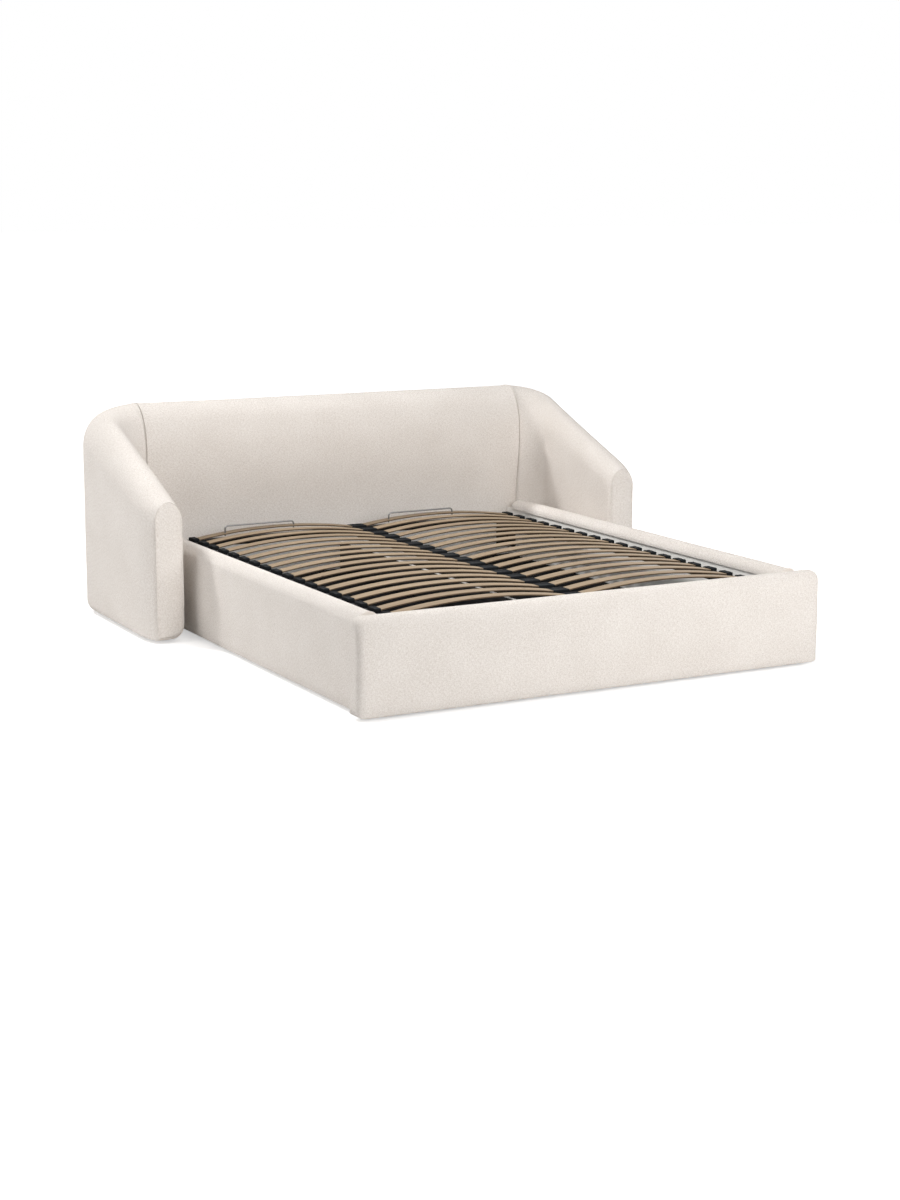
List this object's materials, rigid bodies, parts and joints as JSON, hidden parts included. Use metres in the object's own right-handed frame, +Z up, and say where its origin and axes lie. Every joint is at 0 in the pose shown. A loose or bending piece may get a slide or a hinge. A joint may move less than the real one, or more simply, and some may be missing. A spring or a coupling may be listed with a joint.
{
  "type": "upholstered storage bed",
  "caption": "Upholstered double bed with a wrapped, sloping headboard and a bowed-slat platform that lifts on gas struts over a storage space.",
  "frame": {"origin": "on the floor under the middle of the bed's bounding box", "axes": "+Z up, +Y from the foot to the headboard, +X to the right seen from the foot"},
  "size_m": [2.444, 2.538, 0.938],
  "materials": {
    "upholstery": "woven, matt",
    "slat_wood": "plain beech plywood",
    "frame_black": "black powder coat with matt black slat holders",
    "wire": "plain steel wire",
    "black_steel": "black powder coat",
    "rod_steel": "polished",
    "floor_black": "black faced fibreboard",
    "board": "light grey faced chipboard"
  },
  "bodies": {
    "base": {"headboard_centre": "upholstery", "headboard_wing_left": "upholstery", "headboard_wing_right": "upholstery", "side_rail_cover_left": "upholstery", "side_rail_cover_right": "upholstery", "side_rail_board_left": "board", "side_rail_board_right": "board", "foot_rail_cover": "upholstery", "foot_rail_board": "board", "head_end_board": "board", "storage_floor_left": "floor_black", "storage_floor_right": "floor_black", "centre_divider": "board", "lift_bracket_left": "black_steel", "lift_bracket_right": "black_steel"},
    "platform": {"lifting_frame": "frame_black", "mattress_retainer_left": "wire", "mattress_retainer_right": "wire", "lift_arm_left": "black_steel", "lift_arm_right": "black_steel", "slat_left_01": "slat_wood", "slat_left_02": "slat_wood", "slat_left_03": "slat_wood", "slat_left_04": "slat_wood", "slat_left_05": "slat_wood", "slat_left_06": "slat_wood", "slat_left_07": "slat_wood", "slat_left_08": "slat_wood", "slat_left_09": "slat_wood", "slat_left_10": "slat_wood", "slat_left_11": "slat_wood", "slat_left_12": "slat_wood", "slat_left_13": "slat_wood", "slat_left_14": "slat_wood", "slat_left_15": "slat_wood", "slat_left_16": "slat_wood", "slat_left_17": "slat_wood", "slat_left_18": "slat_wood", "slat_right_01": "slat_wood", "slat_right_02": "slat_wood", "slat_right_03": "slat_wood", "slat_right_04": "slat_wood", "slat_right_05": "slat_wood", "slat_right_06": "slat_wood", "slat_right_07": "slat_wood", "slat_right_08": "slat_wood", "slat_right_09": "slat_wood", "slat_right_10": "slat_wood", "slat_right_11": "slat_wood", "slat_right_12": "slat_wood", "slat_right_13": "slat_wood", "slat_right_14": "slat_wood", "slat_right_15": "slat_wood", "slat_right_16": "slat_wood", "slat_right_17": "slat_wood", "slat_right_18": "slat_wood"},
    "strut_cylinder_left": {"strut_cylinder_left": "black_steel"},
    "strut_cylinder_right": {"strut_cylinder_right": "black_steel"},
    "strut_rod_left": {"strut_rod_left": "rod_steel"},
    "strut_rod_right": {"strut_rod_right": "rod_steel"}
  },
  "joints": [
    {"name": "platform_lift", "type": "hinge", "parent": "base", "child": "platform", "pos_m": [0, 0.901, 0.285], "axis": [-1, 0, 0], "range_deg": [0, 40]},
    {"name": "strut_foot_left", "type": "hinge", "parent": "base", "child": "strut_cylinder_left", "pos_m": [-0.87475, 0.321, 0.28], "axis": [1, 0, 0], "range_deg": [0, 7]},
    {"name": "strut_head_left", "type": "hinge", "parent": "platform", "child": "strut_rod_left", "pos_m": [-0.87475, 0.801, 0.3], "axis": [1, 0, 0], "range_deg": [0, 47]},
    {"name": "strut_foot_right", "type": "hinge", "parent": "base", "child": "strut_cylinder_right", "pos_m": [0.87475, 0.321, 0.28], "axis": [1, 0, 0], "range_deg": [0, 7]},
    {"name": "strut_head_right", "type": "hinge", "parent": "platform", "child": "strut_rod_right", "pos_m": [0.87475, 0.801, 0.3], "axis": [1, 0, 0], "range_deg": [0, 47]}
  ],
  "couplings": [
    {"joint": "strut_foot_left", "follows": "platform_lift", "ratio": 0.1722},
    {"joint": "strut_head_left", "follows": "platform_lift", "ratio": 1.1722},
    {"joint": "strut_foot_right", "follows": "platform_lift", "ratio": 0.1722},
    {"joint": "strut_head_right", "follows": "platform_lift", "ratio": 1.1722}
  ]
}
